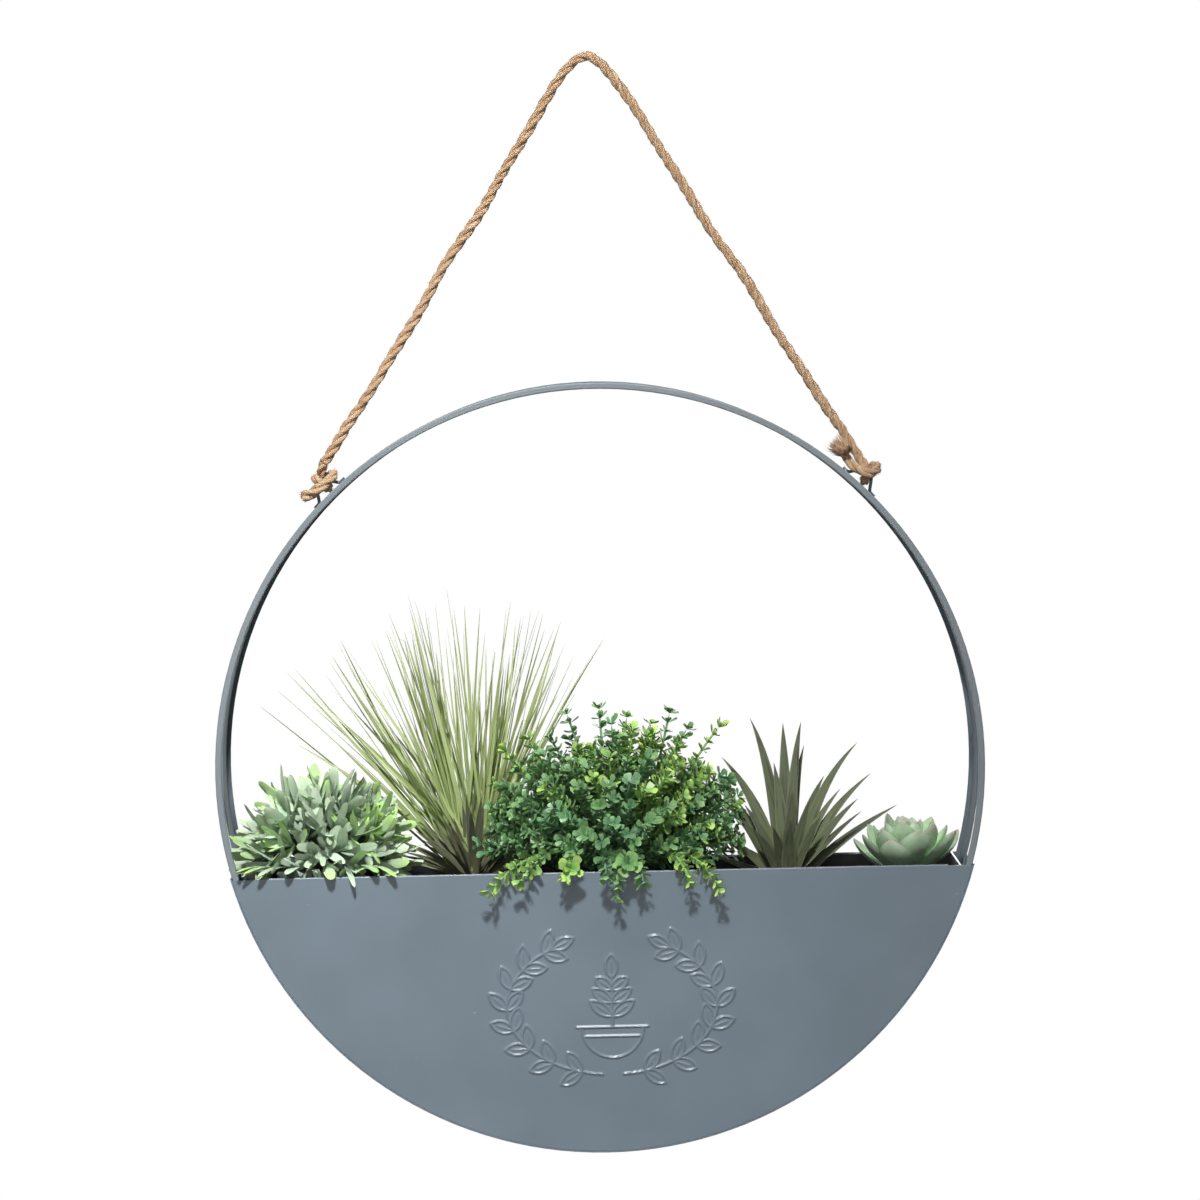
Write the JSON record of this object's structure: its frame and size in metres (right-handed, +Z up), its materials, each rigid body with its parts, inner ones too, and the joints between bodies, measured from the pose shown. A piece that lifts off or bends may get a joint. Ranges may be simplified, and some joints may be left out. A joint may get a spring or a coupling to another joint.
{
  "type": "hanging planter",
  "caption": "Round hanging planter: a half-moon painted steel trough between two hoops, hung on a twisted rope and filled with artificial plants.",
  "frame": {"origin": "underside of the rope at the top, where a hook or nail carries it", "axes": "+Z up, the front panel looks along -Y, +X to the right seen from the front; the rope and the eyelets lie in the plane y = 0"},
  "size_m": [0.4976, 0.111, 0.7165],
  "materials": {
    "painted_steel": "satin",
    "eyelet_wire": "satin",
    "jute": "matte",
    "liner_plastic": "gloss",
    "foam": "matte",
    "sage_leaf": "matte",
    "grass_blade": "matte",
    "boxwood_leaf": "satin",
    "aloe_leaf": "satin",
    "echeveria_leaf": "matte",
    "pick_plastic": "matte"
  },
  "bodies": {
    "hanger": {"rope": "jute", "left_knot": "jute", "right_knot": "jute"},
    "planter": {"front_panel": "painted_steel", "back_panel": "painted_steel", "trough_band": "painted_steel", "front_hoop": "painted_steel", "rear_hoop": "painted_steel", "left_eyelet": "eyelet_wire", "right_eyelet": "eyelet_wire", "liner": "liner_plastic", "planting_foam": "foam", "sage_plant": "sage_leaf", "grass_plant": "grass_blade", "boxwood_plant": "boxwood_leaf", "aloe_plant": "aloe_leaf", "echeveria_plant": "echeveria_leaf", "sage_pick": "pick_plastic", "grass_pick": "pick_plastic", "boxwood_pick": "pick_plastic", "aloe_pick": "pick_plastic", "echeveria_pick": "pick_plastic"}
  },
  "joints": [
    {"name": "planter_swing", "type": "hinge", "parent": "hanger", "child": "planter", "pos_m": [0, 0, -0.27514], "axis": [-1, 0, 0], "range_deg": [0, 30]}
  ]
}
